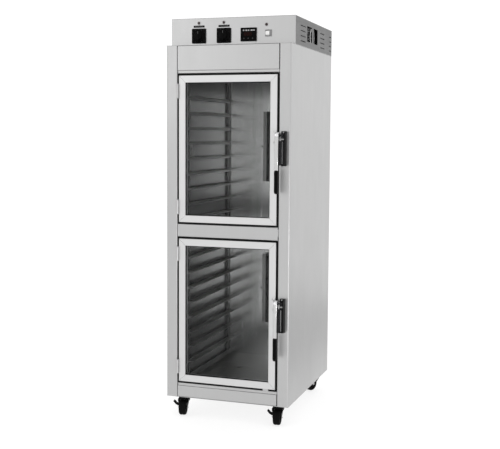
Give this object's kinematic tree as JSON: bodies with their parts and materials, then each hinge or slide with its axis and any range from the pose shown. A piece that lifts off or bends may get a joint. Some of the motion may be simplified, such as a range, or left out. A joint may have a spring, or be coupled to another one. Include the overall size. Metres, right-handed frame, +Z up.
{
  "type": "proofing cabinet",
  "caption": "Tall two-door insulated steel cabinet on swivel casters that keeps pans of dough warm and moist; glass doors, pan slides, control box on top.",
  "frame": {"origin": "on the floor, below the middle of the overall width and depth", "axes": "+Z up, -Y out of the doors, +X towards the latch side, the viewer's right when facing the doors"},
  "size_m": [0.635, 0.86, 1.977],
  "materials": {
    "outer_steel": "fine vertical brush",
    "liner_steel": "fine vertical brush",
    "rack_steel": "satin",
    "guard_black": "satin black",
    "insulation": "loose glass wool",
    "black_plastic": "fine moulded texture",
    "dial_plastic": "satin",
    "grip_plastic": "satin",
    "rocker_plastic": "gloss",
    "pilot_lens": "clear dark lens",
    "motor_paint": "satin",
    "fan_aluminium": "plain",
    "screw_steel": "satin",
    "chrome": "polished",
    "strike_metal": "dark polished casting",
    "door_aluminium": "satin anodised",
    "door_glass": "clear tempered",
    "gasket_rubber": "matte",
    "caster_black": "black coat",
    "wheel_rubber": "matte"
  },
  "bodies": {
    "cabinet": {"air_heater_element": "rack_steel", "base_pan": "outer_steel", "blower_motor": "motor_paint", "bottom_rail": "outer_steel", "cabinet_hinge_leaves": "screw_steel", "caster_plates": "caster_black", "ceiling_grille": "liner_steel", "contactor": "black_plastic", "control_box_lid": "outer_steel", "control_box_sides": "outer_steel", "control_panel": "outer_steel", "digital_thermometer": "black_plastic", "header_panel": "outer_steel", "heat_thermostat": "black_plastic", "humidity_tank": "liner_steel", "humidity_thermostat": "black_plastic", "insulation_batts": "insulation", "latch_strikes": "strike_metal", "left_side_panel": "outer_steel", "liner_ends": "liner_steel", "liner_wrap": "liner_steel", "mid_rail": "outer_steel", "pan_slides": "rack_steel", "panel_screws": "screw_steel", "pilot_lights": "pilot_lens", "power_inlet": "black_plastic", "power_switch_housing": "black_plastic", "probe_guards": "guard_black", "rack_posts": "rack_steel", "rear_panel": "outer_steel", "right_side_panel": "outer_steel", "roof_panel": "outer_steel"},
    "upper_door": {"upper_door_frame": "door_aluminium", "upper_door_glass": "door_glass", "upper_door_gasket": "gasket_rubber", "upper_door_hinge_leaves": "screw_steel", "upper_latch_housing": "chrome"},
    "lower_door": {"lower_door_frame": "door_aluminium", "lower_door_glass": "door_glass", "lower_door_gasket": "gasket_rubber", "lower_door_hinge_leaves": "screw_steel", "lower_latch_housing": "chrome"},
    "upper_latch": {"upper_latch_lever": "chrome", "upper_latch_grip": "grip_plastic"},
    "lower_latch": {"lower_latch_lever": "chrome", "lower_latch_grip": "grip_plastic"},
    "heat_dial": {"heat_dial": "dial_plastic"},
    "humidity_dial": {"humidity_dial": "dial_plastic"},
    "power_rocker": {"power_rocker": "rocker_plastic"},
    "blower_wheel": {"blower_wheel": "fan_aluminium"},
    "front_left_caster": {"front_left_caster_fork": "caster_black"},
    "front_left_wheel": {"front_left_caster_wheel": "wheel_rubber"},
    "front_left_brake": {"front_left_brake_lever": "caster_black"},
    "front_right_caster": {"front_right_caster_fork": "caster_black"},
    "front_right_wheel": {"front_right_caster_wheel": "wheel_rubber"},
    "front_right_brake": {"front_right_brake_lever": "caster_black"},
    "rear_left_caster": {"rear_left_caster_fork": "caster_black"},
    "rear_left_wheel": {"rear_left_caster_wheel": "wheel_rubber"},
    "rear_right_caster": {"rear_right_caster_fork": "caster_black"},
    "rear_right_wheel": {"rear_right_caster_wheel": "wheel_rubber"}
  },
  "joints": [
    {"name": "lower_door_hinge", "type": "hinge", "parent": "cabinet", "child": "lower_door", "pos_m": [-0.256, -0.376, 0.5415], "axis": [0, 0, -1], "range_deg": [0, 170]},
    {"name": "lower_latch_pull", "type": "hinge", "parent": "lower_door", "child": "lower_latch", "pos_m": [0.2635, -0.404, 0.6125], "axis": [-1, 0, 0], "range_deg": [0, 35]},
    {"name": "upper_door_hinge", "type": "hinge", "parent": "cabinet", "child": "upper_door", "pos_m": [-0.256, -0.376, 1.3385], "axis": [0, 0, -1], "range_deg": [0, 170]},
    {"name": "upper_latch_pull", "type": "hinge", "parent": "upper_door", "child": "upper_latch", "pos_m": [0.2635, -0.404, 1.4095], "axis": [-1, 0, 0], "range_deg": [0, 35]},
    {"name": "heat_dial_turn", "type": "hinge", "parent": "cabinet", "child": "heat_dial", "pos_m": [-0.1725, -0.302, 1.8905], "axis": [0, 1, 0], "range_deg": [0, 300]},
    {"name": "humidity_dial_turn", "type": "hinge", "parent": "cabinet", "child": "humidity_dial", "pos_m": [-0.043, -0.302, 1.8905], "axis": [0, 1, 0], "range_deg": [0, 300]},
    {"name": "power_rocker_tilt", "type": "hinge", "parent": "cabinet", "child": "power_rocker", "pos_m": [0.179, -0.295, 1.896], "axis": [1, 0, 0], "range_deg": [0, 18]},
    {"name": "blower_spin", "type": "hinge", "parent": "cabinet", "child": "blower_wheel", "pos_m": [0.28, 0.069, 1.908], "axis": [1, 0, 0], "continuous": true},
    {"name": "front_left_swivel", "type": "hinge", "parent": "cabinet", "child": "front_left_caster", "pos_m": [-0.249, -0.308, 0.09], "axis": [0, 0, 1], "continuous": true},
    {"name": "front_left_roll", "type": "hinge", "parent": "front_left_caster", "child": "front_left_wheel", "pos_m": [-0.24587, -0.32573, 0.038], "axis": [0.9848, 0.1736, 0], "continuous": true},
    {"name": "front_left_brake_press", "type": "hinge", "parent": "front_left_caster", "child": "front_left_brake", "pos_m": [-0.27406, -0.31851, 0.05], "axis": [0.1736, -0.9848, 0], "range_deg": [0, 25]},
    {"name": "front_right_swivel", "type": "hinge", "parent": "cabinet", "child": "front_right_caster", "pos_m": [0.249, -0.308, 0.09], "axis": [0, 0, 1], "continuous": true},
    {"name": "front_right_roll", "type": "hinge", "parent": "front_right_caster", "child": "front_right_wheel", "pos_m": [0.25088, -0.3259, 0.038], "axis": [0.9945, 0.1045, 0], "continuous": true},
    {"name": "front_right_brake_press", "type": "hinge", "parent": "front_right_caster", "child": "front_right_brake", "pos_m": [0.22327, -0.31674, 0.05], "axis": [0.1045, -0.9945, 0], "range_deg": [0, 25]},
    {"name": "rear_left_swivel", "type": "hinge", "parent": "cabinet", "child": "rear_left_caster", "pos_m": [-0.249, 0.351, 0.09], "axis": [0, 0, 1], "continuous": true},
    {"name": "rear_left_roll", "type": "hinge", "parent": "rear_left_caster", "child": "rear_left_wheel", "pos_m": [-0.24, 0.33541, 0.038], "axis": [0.866, 0.5, 0], "continuous": true},
    {"name": "rear_right_swivel", "type": "hinge", "parent": "cabinet", "child": "rear_right_caster", "pos_m": [0.249, 0.351, 0.09], "axis": [0, 0, 1], "continuous": true},
    {"name": "rear_right_roll", "type": "hinge", "parent": "rear_right_caster", "child": "rear_right_wheel", "pos_m": [0.24139, 0.33469, 0.038], "axis": [0.9063, -0.4226, 0], "continuous": true}
  ]
}
